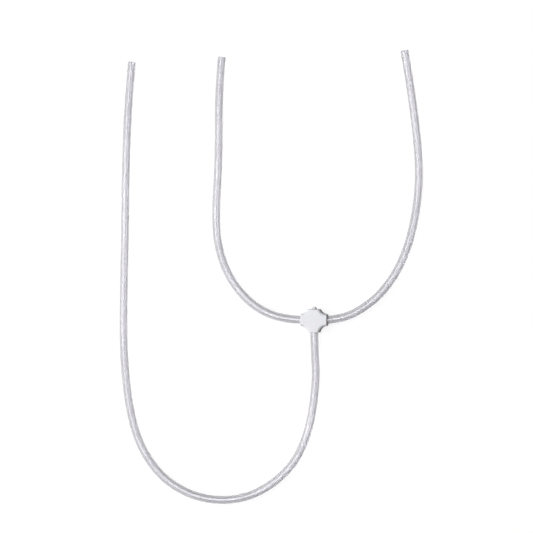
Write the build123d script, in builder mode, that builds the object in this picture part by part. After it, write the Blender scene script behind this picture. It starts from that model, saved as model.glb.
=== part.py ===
from build123d import *
import os
from math import pi, radians, tan

# Tubing Y connector: a moulded hub that joins two branch tubes and a trunk tube.
# It lies flat. The origin is on the hub's back face, under the point where the port
# axes cross. The branch ports point along -X and +X, the trunk port along -Y, and the
# closed fourth lobe along +Y. Millimetres, +Z up.

# ---- driving dimensions ----

# tubing
tube_outer_diameter = 8.0
tube_bore_diameter = 5.0

# hub, in plan
hub_width = 26.8  # from one branch port's end face to the other's
trunk_lobe_reach = 12.4  # from the port crossing to the trunk port's end face
blind_lobe_reach = 10.7  # from the port crossing to the closed lobe's end face
socket_lobe_width = 11.8
blind_lobe_width = 12.0
scallop_radius = 7.2  # hollow between two lobes
lobe_corner_radius = 1.5

# hub, in section
hub_thickness = 12.0
scallop_edge_radius = 3.0
lobe_end_chamfer = 0.5

# sockets and flow passage
socket_depth = 7.0
socket_clearance = 0.05  # on the radius, filled by solvent cement
socket_mouth_chamfer = 0.35

# stub on the closed lobe
stub_base_diameter = 5.9
stub_tip_diameter = 3.1
stub_length = 2.4

# tube routes
bend_share = 0.45  # of the shorter run beside a corner, taken up by the corner's arc

# ---- sizes that follow ----

port_height = hub_thickness / 2
socket_diameter = tube_outer_diameter + 2 * socket_clearance
passage_diameter = tube_bore_diameter  # no step in the flow from tube to hub
lying_height = tube_outer_diameter / 2  # centreline of a tube on the floor
descent_height = (port_height + lying_height) / 2  # halfway down from port to floor
branch_seat = hub_width / 2 - socket_depth  # where a tube's end stops in its socket
trunk_seat = trunk_lobe_reach - socket_depth
side_scallop_x = socket_lobe_width / 2 + scallop_radius
blind_scallop_x = blind_lobe_width / 2 + scallop_radius
scallop_y = socket_lobe_width / 2 + scallop_radius

crossing = Vector(0, 0, port_height)
left_port = Plane(origin=crossing - Vector(hub_width / 2, 0, 0), z_dir=(-1, 0, 0))
right_port = Plane(origin=crossing + Vector(hub_width / 2, 0, 0), z_dir=(1, 0, 0))
trunk_port = Plane(origin=crossing - Vector(0, trunk_lobe_reach, 0), z_dir=(0, -1, 0))
blind_end = Plane(origin=crossing + Vector(0, blind_lobe_reach, 0), z_dir=(0, 1, 0))

# Each route runs from the tube's seat in the hub to its free end. The first run lies on
# the port's axis, and the tube then comes down from the port's height to the floor.
routes = {
    "left_branch_tube": [
        (-branch_seat, 0, port_height),
        (-28.4, 0, port_height),
        (-56.3, 9.6, descent_height),
        (-79.5, 30.5, lying_height),
        (-95.1, 59.9, lying_height),
        (-101.3, 94.7, lying_height),
        (-97.3, 161.6, lying_height),
        (-97.7, 229.0, lying_height),
        (-94.3, 263.4, lying_height),
    ],
    "right_branch_tube": [
        (branch_seat, 0, port_height),
        (19.0, 0, port_height),
        (42.2, 6.6, descent_height),
        (71.2, 29.3, lying_height),
        (93.1, 67.3, lying_height),
        (104.3, 119.9, lying_height),
        (104.5, 162.0, lying_height),
        (100.0, 203.0, lying_height),
        (94.9, 239.0, lying_height),
        (90.0, 266.9, lying_height),
    ],
    "trunk_tube": [
        (0, -trunk_seat, port_height),
        (0, -24.5, port_height),
        (2.3, -60.0, descent_height),
        (-5.7, -113.8, lying_height),
        (-25.6, -151.5, lying_height),
        (-65.0, -178.9, lying_height),
        (-111.3, -182.4, lying_height),
        (-151.7, -164.5, lying_height),
        (-177.1, -132.3, lying_height),
        (-189.7, -93.2, lying_height),
        (-195.9, -37.0, lying_height),
        (-195.8, 22.0, lying_height),
        (-194.1, 88.0, lying_height),
        (-193.7, 146.0, lying_height),
        (-191.3, 216.0, lying_height),
        (-187.2, 259.9, lying_height),
    ],
}


def bend_radii(points):
    """The arc radius at each corner of a route: as large as its two runs allow."""
    corners = [Vector(*point) for point in points]
    runs = [b - a for a, b in zip(corners, corners[1:])]
    return [
        bend_share * min(before.length, after.length) / tan(radians(before.get_angle(after)) / 2)
        for before, after in zip(runs, runs[1:])
    ]


os.makedirs("parts", exist_ok=True)

# ---- hub: one white moulding, scalloped between its four lobes ----

with BuildPart() as y_connector:
    with BuildSketch(Plane.XY) as plan:
        with Locations((0, (blind_lobe_reach - trunk_lobe_reach) / 2)):
            Rectangle(hub_width, blind_lobe_reach + trunk_lobe_reach)
        with Locations((-side_scallop_x, -scallop_y), (side_scallop_x, -scallop_y)):
            Circle(scallop_radius, mode=Mode.SUBTRACT)
        with Locations((-blind_scallop_x, scallop_y), (blind_scallop_x, scallop_y)):
            Circle(scallop_radius, mode=Mode.SUBTRACT)
    extrude(amount=hub_thickness)

    # the scallops' rims are well rounded, front and back
    scallop_rims = y_connector.edges().filter_by(GeomType.CIRCLE)
    fillet(scallop_rims, scallop_edge_radius)

    # the outline of each lobe's flat end is lightly bevelled
    for end in (left_port, right_port, trunk_port, blind_end):
        end_face = y_connector.faces().filter_by(end).sort_by_distance(end.origin)[0]
        chamfer(end_face.outer_wire().edges(), lobe_end_chamfer)

    # the corners of the lobes are rounded in plan, over the whole thickness
    with BuildSketch(Plane.XY) as rounded_plan:
        add(plan.sketch)
        fillet(rounded_plan.vertices(), lobe_corner_radius)
    extrude(amount=hub_thickness, mode=Mode.INTERSECT)

    # tapered stub on the closed lobe
    with Locations(blind_end):
        Cone(
            bottom_radius=stub_base_diameter / 2,
            top_radius=stub_tip_diameter / 2,
            height=stub_length,
            align=(Align.CENTER, Align.CENTER, Align.MIN),
        )

    # stepped ports: a socket for the tube, then the passage to the crossing
    for port, reach in (
        (left_port, hub_width / 2),
        (right_port, hub_width / 2),
        (trunk_port, trunk_lobe_reach),
    ):
        with Locations(port):
            CounterBoreHole(
                radius=passage_diameter / 2,
                counter_bore_radius=socket_diameter / 2,
                counter_bore_depth=socket_depth,
                depth=reach,
            )
        mouth = y_connector.edges().filter_by(GeomType.CIRCLE).sort_by_distance(port.origin)[0]
        chamfer(mouth, socket_mouth_chamfer)

y_connector.part.label = "y_connector"
export_step(y_connector.part, "parts/y_connector.step")

# ---- tubes: clear, of one section, each cut square at its free end ----

tube_section = pi / 4 * (tube_outer_diameter**2 - tube_bore_diameter**2)

for name, points in routes.items():
    radii = bend_radii(points)
    with BuildPart() as tube:
        with BuildLine() as centreline:
            FilletPolyline(*points, radius=radii)
        seat = Plane(origin=centreline.line @ 0, z_dir=centreline.line % 0)
        with BuildSketch(seat):
            Circle(tube_outer_diameter / 2)
            Circle(tube_bore_diameter / 2, mode=Mode.SUBTRACT)
        sweep()
    tube.part.label = name
    export_step(tube.part, f"parts/{name}.step")

    length = centreline.wire().length
    print(f"{name}: {length:.1f} mm long, bend radii {[round(radius) for radius in radii]} mm")
    print(f"    volume over section times length: {tube.part.volume / (tube_section * length):.5f}")
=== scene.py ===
import math

import bmesh
import bpy
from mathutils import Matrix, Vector


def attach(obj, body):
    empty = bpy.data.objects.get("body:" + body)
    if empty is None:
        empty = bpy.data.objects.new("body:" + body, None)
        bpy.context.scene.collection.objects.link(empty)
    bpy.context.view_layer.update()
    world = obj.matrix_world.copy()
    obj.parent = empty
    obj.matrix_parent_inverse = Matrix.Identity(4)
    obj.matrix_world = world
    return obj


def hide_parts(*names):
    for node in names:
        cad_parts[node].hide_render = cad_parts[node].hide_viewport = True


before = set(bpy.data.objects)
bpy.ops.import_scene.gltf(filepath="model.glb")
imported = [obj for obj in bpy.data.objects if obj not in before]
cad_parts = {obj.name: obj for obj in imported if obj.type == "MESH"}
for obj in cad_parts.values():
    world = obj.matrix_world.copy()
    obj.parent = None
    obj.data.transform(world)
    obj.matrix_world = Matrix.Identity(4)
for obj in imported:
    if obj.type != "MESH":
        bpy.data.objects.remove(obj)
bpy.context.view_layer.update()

# ---- hub ----
# The real piece is one injection moulding in white ABS, with a T-shaped passage, three tube
# sockets and a closed fourth lobe. Its skin is the mould's: fine spark texture, a faint
# parting line round the mid-height, and faint flow marks.

port_height = 0.006  # the port axes and the mould's parting line
parting_line_width = 0.00022
parting_line_rise = 0.00006
flow_mark_size = 0.011
spark_grain = 0.00035  # real spark texture is 0.02 mm, drawn coarser so that it shows
spark_depth = 0.00004
point_merge = 1e-7


def linear(colour):
    """An sRGB hex colour as the linear values that a shader takes."""
    channels = [int(colour[i : i + 2], 16) / 255 for i in (1, 3, 5)]
    return [c / 12.92 if c <= 0.04045 else ((c + 0.055) / 1.055) ** 2.4 for c in channels] + [1]


def add(tree, kind, inputs=(), **settings):
    """A new node, with its settings, and with each input given a value or a link."""
    node = tree.nodes.new(kind)
    for name, value in settings.items():
        setattr(node, name, value)
    for socket, value in dict(inputs).items():
        if isinstance(value, bpy.types.NodeSocket):
            tree.links.new(value, node.inputs[socket])
        else:
            node.inputs[socket].default_value = value
    return node


# White ABS as moulded: a slightly cool white, semi-matt, a little light carried below the skin.
moulded_abs = bpy.data.materials.new("moulded_white_abs")
moulded_abs.use_nodes = True
tree = moulded_abs.node_tree
tree.nodes.clear()
place = add(tree, "ShaderNodeTexCoord").outputs["Object"]
flow = add(
    tree,
    "ShaderNodeTexNoise",
    {"Vector": place, "Scale": 1 / flow_mark_size, "Detail": 2.0, "Roughness": 0.4},
)
skin_colour = add(
    tree,
    "ShaderNodeMix",
    {0: flow.outputs["Fac"], 6: linear("#e9e9ed"), 7: linear("#e3e3e8")},
    data_type="RGBA",
)
grain = add(
    tree,
    "ShaderNodeTexNoise",
    {"Vector": place, "Scale": 1 / spark_grain, "Detail": 3.0, "Roughness": 0.6},
)
sheen_break = add(
    tree,
    "ShaderNodeMapRange",
    {
        "Value": grain.outputs["Fac"],
        "From Min": 0.3,
        "From Max": 0.7,
        "To Min": 0.5,
        "To Max": 0.6,
    },
)
height = add(tree, "ShaderNodeSeparateXYZ", {"Vector": place}).outputs["Z"]
from_line = add(tree, "ShaderNodeMath", {0: height, 1: port_height}, operation="SUBTRACT")
from_line = add(tree, "ShaderNodeMath", {0: from_line.outputs[0]}, operation="ABSOLUTE")
line = add(
    tree,
    "ShaderNodeMapRange",
    {
        "Value": from_line.outputs[0],
        "From Min": 0.0,
        "From Max": parting_line_width,
        "To Min": 1.0,
        "To Max": 0.0,
    },
    interpolation_type="SMOOTHSTEP",
)
fine = add(
    tree,
    "ShaderNodeBump",
    {"Height": grain.outputs["Fac"], "Strength": 0.12, "Distance": spark_depth},
)
skin = add(
    tree,
    "ShaderNodeBump",
    {
        "Height": line.outputs[0],
        "Strength": 0.6,
        "Distance": parting_line_rise,
        "Normal": fine.outputs[0],
    },
)
abs_shader = add(
    tree,
    "ShaderNodeBsdfPrincipled",
    {
        "Base Color": skin_colour.outputs[2],
        "Roughness": sheen_break.outputs[0],
        "IOR": 1.54,
        "Specular IOR Level": 0.2,
        "Subsurface Weight": 0.08,
        "Subsurface Scale": 0.0012,
        "Normal": skin.outputs[0],
    },
)
add(tree, "ShaderNodeOutputMaterial", {"Surface": abs_shader.outputs[0]})

# The moulding is the frame's own solid with its facets joined, so that its roundings are smooth.
hub_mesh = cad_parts["y_connector"].data.copy()
hub_mesh.name = "hub_moulding"
shell = bmesh.new()
shell.from_mesh(hub_mesh)
bmesh.ops.remove_doubles(shell, verts=shell.verts, dist=point_merge)
shell.to_mesh(hub_mesh)
shell.free()
hub_mesh.materials.clear()
hub_mesh.materials.append(moulded_abs)
hub_mesh.shade_smooth()
hub_mesh.set_sharp_from_angle(angle=math.radians(32))
hub_moulding = bpy.data.objects.new("hub_moulding", hub_mesh)
bpy.context.scene.collection.objects.link(hub_moulding)
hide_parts("y_connector")
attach(hub_moulding, "root")

# ---- tubes ----
# Three lengths of clear flexible tubing, extruded from soft PVC and bonded into the hub's
# sockets. The extrusion leaves fine die lines along the wall and a slightly milky cast, and
# each free end is cut square with a blade.

tube_outer_diameter = 0.008
tube_bore_diameter = 0.005
descent_height = 0.005  # halfway from the ports down to lying_height
lying_height = tube_outer_diameter / 2
sweep_step = 0.0016  # between one ring of points and the next
ring_points = 48
blade_burr = 0.00015  # the slight rounding that the blade leaves

left_route = [
    (-0.0064, 0, port_height),
    (-0.0284, 0, port_height),
    (-0.0563, 0.0096, descent_height),
    (-0.0795, 0.0305, lying_height),
    (-0.0951, 0.0599, lying_height),
    (-0.1013, 0.0947, lying_height),
    (-0.0973, 0.1616, lying_height),
    (-0.0977, 0.2290, lying_height),
    (-0.0943, 0.2634, lying_height),
]
right_route = [
    (0.0064, 0, port_height),
    (0.0190, 0, port_height),
    (0.0422, 0.0066, descent_height),
    (0.0712, 0.0293, lying_height),
    (0.0931, 0.0673, lying_height),
    (0.1043, 0.1199, lying_height),
    (0.1045, 0.1620, lying_height),
    (0.1000, 0.2030, lying_height),
    (0.0949, 0.2390, lying_height),
    (0.0900, 0.2669, lying_height),
]
trunk_route = [
    (0, -0.0054, port_height),
    (0, -0.0245, port_height),
    (0.0023, -0.0600, descent_height),
    (-0.0057, -0.1138, lying_height),
    (-0.0256, -0.1515, lying_height),
    (-0.0650, -0.1789, lying_height),
    (-0.1113, -0.1824, lying_height),
    (-0.1517, -0.1645, lying_height),
    (-0.1771, -0.1323, lying_height),
    (-0.1897, -0.0932, lying_height),
    (-0.1959, -0.0370, lying_height),
    (-0.1958, 0.0220, lying_height),
    (-0.1941, 0.0880, lying_height),
    (-0.1937, 0.1460, lying_height),
    (-0.1913, 0.2160, lying_height),
    (-0.1872, 0.2599, lying_height),
]

# Clear soft PVC as extruded: glassy, faintly milky and cool, with die lines along its length.
# Its wall lets most of the light that falls square on it through, so its shadow is only an edge.
clear_pvc = bpy.data.materials.new("clear_extruded_pvc")
clear_pvc.use_nodes = True
tree = clear_pvc.node_tree
tree.nodes.clear()
die_pitch = 0.0009  # die lines round the wall, drawn coarser than the real 0.1 mm
die_line_depth = 0.00002
die_line_stretch = 0.02  # how much slower the lines change along the tube than round it
haze_patch = 0.02
straightened = add(tree, "ShaderNodeAttribute", attribute_name="straightened").outputs["Vector"]
drawn_out = add(
    tree,
    "ShaderNodeMapping",
    {"Vector": straightened, "Scale": (1, 1, die_line_stretch)},
)
die_lines = add(
    tree,
    "ShaderNodeTexNoise",
    {"Vector": drawn_out.outputs[0], "Scale": 1 / die_pitch, "Detail": 2.0, "Roughness": 0.5},
)
haze = add(
    tree,
    "ShaderNodeTexNoise",
    {"Vector": straightened, "Scale": 1 / haze_patch, "Detail": 2.0, "Roughness": 0.5},
)
wall_roughness = add(
    tree,
    "ShaderNodeMapRange",
    {
        "Value": haze.outputs["Fac"],
        "From Min": 0.3,
        "From Max": 0.7,
        "To Min": 0.04,
        "To Max": 0.10,
    },
)
wall_bump = add(
    tree,
    "ShaderNodeBump",
    {"Height": die_lines.outputs["Fac"], "Strength": 0.05, "Distance": die_line_depth},
)
pvc_shader = add(
    tree,
    "ShaderNodeBsdfPrincipled",
    {
        "Base Color": linear("#e5e4e8"),
        "Roughness": wall_roughness.outputs[0],
        "IOR": 1.53,
        "Transmission Weight": 0.9,
        "Normal": wall_bump.outputs[0],
    },
)
ray = add(tree, "ShaderNodeLightPath").outputs
slope = add(tree, "ShaderNodeLayerWeight", {"Blend": 0.5})
let_by = add(
    tree,
    "ShaderNodeMapRange",
    {
        "Value": slope.outputs["Facing"],
        "From Min": 0.1,
        "From Max": 0.5,
        "To Min": 0.9,
        "To Max": 0.0,
    },
)
let_by = add(
    tree,
    "ShaderNodeMath",
    {0: ray["Is Shadow Ray"], 1: let_by.outputs[0]},
    operation="MULTIPLY",
)
clear = add(tree, "ShaderNodeBsdfTransparent", {"Color": linear("#ffffff")})
tube_wall = add(
    tree,
    "ShaderNodeMixShader",
    {0: let_by.outputs[0], 1: pvc_shader.outputs[0], 2: clear.outputs[0]},
)
add(tree, "ShaderNodeOutputMaterial", {"Surface": tube_wall.outputs[0]})

# The extrusion: a circle swept along a route, carrying where each point lies on the tube as if
# it were pulled straight. The wall is thickened inwards afterwards, to the bore.
extrusion = bpy.data.node_groups.new("tube_extrusion", "GeometryNodeTree")
extrusion.interface.new_socket("Route", in_out="INPUT", socket_type="NodeSocketGeometry")
extrusion.interface.new_socket("Tube", in_out="OUTPUT", socket_type="NodeSocketGeometry")
extrusion.interface.new_socket("Outer Radius", in_out="INPUT", socket_type="NodeSocketFloat")
extrusion.interface.new_socket("Step", in_out="INPUT", socket_type="NodeSocketFloat")
extrusion.interface.new_socket("Material", in_out="INPUT", socket_type="NodeSocketMaterial")
given = add(extrusion, "NodeGroupInput").outputs
evened = add(
    extrusion,
    "GeometryNodeResampleCurve",
    {"Curve": given["Route"], "Length": given["Step"]},
    mode="LENGTH",
)
run = add(extrusion, "GeometryNodeSplineParameter")
measured = add(
    extrusion,
    "GeometryNodeCaptureAttribute",
    {"Geometry": evened.outputs[0]},
    domain="POINT",
)
measured.capture_items.new("FLOAT", "Length")
extrusion.links.new(run.outputs["Length"], measured.inputs["Length"])
die = add(
    extrusion,
    "GeometryNodeCurvePrimitiveCircle",
    {"Radius": given["Outer Radius"], "Resolution": ring_points},
    mode="RADIUS",
)
round_the_die = add(extrusion, "GeometryNodeInputPosition")
placed = add(
    extrusion,
    "GeometryNodeCaptureAttribute",
    {"Geometry": die.outputs[0]},
    domain="POINT",
)
placed.capture_items.new("VECTOR", "Place")
extrusion.links.new(round_the_die.outputs[0], placed.inputs["Place"])
swept = add(
    extrusion,
    "GeometryNodeCurveToMesh",
    {"Curve": measured.outputs[0], "Profile Curve": placed.outputs[0], "Fill Caps": False},
)
along = add(extrusion, "ShaderNodeCombineXYZ", {"Z": measured.outputs["Length"]})
straight = add(
    extrusion,
    "ShaderNodeVectorMath",
    {0: placed.outputs["Place"], 1: along.outputs[0]},
    operation="ADD",
)
kept = add(
    extrusion,
    "GeometryNodeStoreNamedAttribute",
    {"Geometry": swept.outputs[0], "Name": "straightened", "Value": straight.outputs[0]},
    data_type="FLOAT_VECTOR",
    domain="POINT",
)
whole = add(extrusion, "GeometryNodeRealizeInstances", {"Geometry": kept.outputs[0]})
dressed = add(
    extrusion,
    "GeometryNodeSetMaterial",
    {"Geometry": whole.outputs[0], "Material": given["Material"]},
)
add(extrusion, "NodeGroupOutput", {"Tube": dressed.outputs[0]})


def lay_tube(name, route, node):
    """One tube along its route: its outside, then its wall inwards, then its two cut ends."""
    curve = bpy.data.curves.new(name + "_line", "CURVE")
    curve.dimensions = "3D"
    curve.resolution_u = 24
    spline = curve.splines.new("NURBS")
    spline.points.add(len(route) - 1)
    for point, corner in zip(spline.points, route):
        point.co = (*corner, 1)
    spline.order_u = 3
    spline.use_endpoint_u = True
    line = bpy.data.objects.new(name + "_line", curve)
    bpy.context.scene.collection.objects.link(line)
    path = [v.co.copy() for v in bpy.data.meshes.new_from_object(line).vertices]

    sweep = line.modifiers.new("extrusion", "NODES")
    sweep.node_group = extrusion
    sockets = {item.name: item.identifier for item in extrusion.interface.items_tree}
    sweep[sockets["Outer Radius"]] = tube_outer_diameter / 2
    sweep[sockets["Step"]] = sweep_step
    sweep[sockets["Material"]] = clear_pvc
    depsgraph = bpy.context.evaluated_depsgraph_get()
    skin = bpy.data.meshes.new_from_object(line.evaluated_get(depsgraph))
    bpy.data.objects.remove(line)

    tube = bpy.data.objects.new(name, skin)
    bpy.context.scene.collection.objects.link(tube)
    outside = bmesh.new()
    outside.from_mesh(skin)
    bmesh.ops.recalc_face_normals(outside, faces=outside.faces)
    outside.to_mesh(skin)
    outside.free()
    wall = tube.modifiers.new("wall", "SOLIDIFY")
    wall.thickness = (tube_outer_diameter - tube_bore_diameter) / 2
    wall.offset = -1
    wall.use_even_offset = True
    blade_cut = tube.modifiers.new("blade_cut", "BEVEL")
    blade_cut.width = blade_burr
    blade_cut.segments = 2
    blade_cut.limit_method = "ANGLE"
    blade_cut.angle_limit = math.radians(50)
    depsgraph = bpy.context.evaluated_depsgraph_get()
    wall_mesh = bpy.data.meshes.new_from_object(tube.evaluated_get(depsgraph))
    tube.modifiers.clear()
    tube.data = wall_mesh
    wall_mesh.shade_smooth()
    wall_mesh.set_sharp_from_angle(angle=math.radians(40))

    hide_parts(node)
    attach(tube, "root")


lay_tube("left_tube", left_route, "left_branch_tube")
lay_tube("right_tube", right_route, "right_branch_tube")
lay_tube("trunk_tubing", trunk_route, "trunk_tube")

# ---- bench ----
# A white studio table, wide enough that its edge never shows. The camera, gloss and glass see
# it bright, and it throws little light back up at the sides of the object.

bench_mesh = bpy.data.meshes.new("bench")
reach = 6.0  # from the middle to an edge
bench_top = -0.00005  # just under the tubes, so that the faces don't coincide
bench_mesh.from_pydata(
    [(x * reach, y * reach, bench_top) for x, y in ((-1, -1), (1, -1), (1, 1), (-1, 1))],
    [],
    [(0, 1, 2, 3)],
)
bench = bpy.data.objects.new("bench", bench_mesh)
bpy.context.scene.collection.objects.link(bench)
white_table = bpy.data.materials.new("white_table")
white_table.use_nodes = True
tree = white_table.node_tree
tree.nodes.clear()
ray = add(tree, "ShaderNodeLightPath").outputs
given_back = add(tree, "ShaderNodeBsdfDiffuse", {"Color": linear("#303030")})
paper = add(tree, "ShaderNodeBsdfDiffuse", {"Color": linear("#707070")})
glow = add(tree, "ShaderNodeEmission", {"Color": linear("#ffffff"), "Strength": 0.86})
seen_paper = add(tree, "ShaderNodeAddShader", {0: paper.outputs[0], 1: glow.outputs[0]})
near_paper = add(tree, "ShaderNodeBsdfDiffuse", {"Color": linear("#c8c8c8")})
near_glow = add(tree, "ShaderNodeEmission", {"Color": linear("#ffffff"), "Strength": 0.08})
through_glass = add(
    tree,
    "ShaderNodeAddShader",
    {0: near_paper.outputs[0], 1: near_glow.outputs[0]},
)
direct = add(
    tree,
    "ShaderNodeMath",
    {0: ray["Is Camera Ray"], 1: ray["Is Glossy Ray"]},
    operation="MAXIMUM",
)
to_eye = add(
    tree,
    "ShaderNodeMixShader",
    {0: direct.outputs[0], 1: given_back.outputs[0], 2: seen_paper.outputs[0]},
)
table_face = add(
    tree,
    "ShaderNodeMixShader",
    {0: ray["Is Transmission Ray"], 1: to_eye.outputs[0], 2: through_glass.outputs[0]},
)
add(tree, "ShaderNodeOutputMaterial", {"Surface": table_face.outputs[0]})
bench_mesh.materials.append(white_table)

# ---- light ----
# A broad soft box above and to the left, a small weaker one low on the left, and a dim room
# whose white walls show to the camera, in gloss and through clear stuff.

world = bpy.data.worlds.new("studio")
bpy.context.scene.world = world
world.use_nodes = True
tree = world.node_tree
tree.nodes.clear()
ray = add(tree, "ShaderNodeLightPath").outputs
shown = add(
    tree,
    "ShaderNodeMath",
    {0: ray["Is Camera Ray"], 1: ray["Is Glossy Ray"]},
    operation="MAXIMUM",
)
shown = add(
    tree,
    "ShaderNodeMath",
    {0: shown.outputs[0], 1: ray["Is Transmission Ray"]},
    operation="MAXIMUM",
)
room = add(tree, "ShaderNodeBackground", {"Color": linear("#ffffff"), "Strength": 0.05})
backdrop = add(tree, "ShaderNodeBackground", {"Color": linear("#ffffff"), "Strength": 1.0})
studio = add(
    tree,
    "ShaderNodeMixShader",
    {0: shown.outputs[0], 1: room.outputs[0], 2: backdrop.outputs[0]},
)
add(tree, "ShaderNodeOutputWorld", {"Surface": studio.outputs[0]})


def soft_box(name, position, target, width, power):
    """A square area lamp at a position, facing a target."""
    lamp = bpy.data.lights.new(name, "AREA")
    lamp.shape = "SQUARE"
    lamp.size = width
    lamp.energy = power
    box = bpy.data.objects.new(name, lamp)
    bpy.context.scene.collection.objects.link(box)
    box.location = position
    box.rotation_euler = (Vector(target) - Vector(position)).to_track_quat("-Z", "Y").to_euler()
    return box


soft_box("overhead", (-0.8, 0.1, 2.3), (0, 0.05, 0), 2.0, 54)
side_box = soft_box("side", (-1.7, 0.1, 1.2), (0, 0.05, 0), 0.4, 17)
side_box.visible_glossy = False

# ---- camera ----
# High over the table, leaning a little towards the right branch.

view_lean = math.radians(10.6)
view_distance = 2.4
view_centre = Vector((-0.04878, 0.05326, 0.004))
focal_pixels = 2400
frame_pixels = 533
camera_data = bpy.data.cameras.new("camera")
camera_data.sensor_width = 36
camera_data.lens = 36 * focal_pixels / frame_pixels
camera_data.clip_end = 50
camera = bpy.data.objects.new("camera", camera_data)
bpy.context.scene.collection.objects.link(camera)
towards_camera = Vector((math.sin(view_lean), 0, math.cos(view_lean)))
camera.location = view_centre + view_distance * towards_camera
camera.rotation_euler = (0, view_lean, 0)
bpy.context.scene.camera = camera
bpy.context.scene.view_settings.view_transform = "Standard"
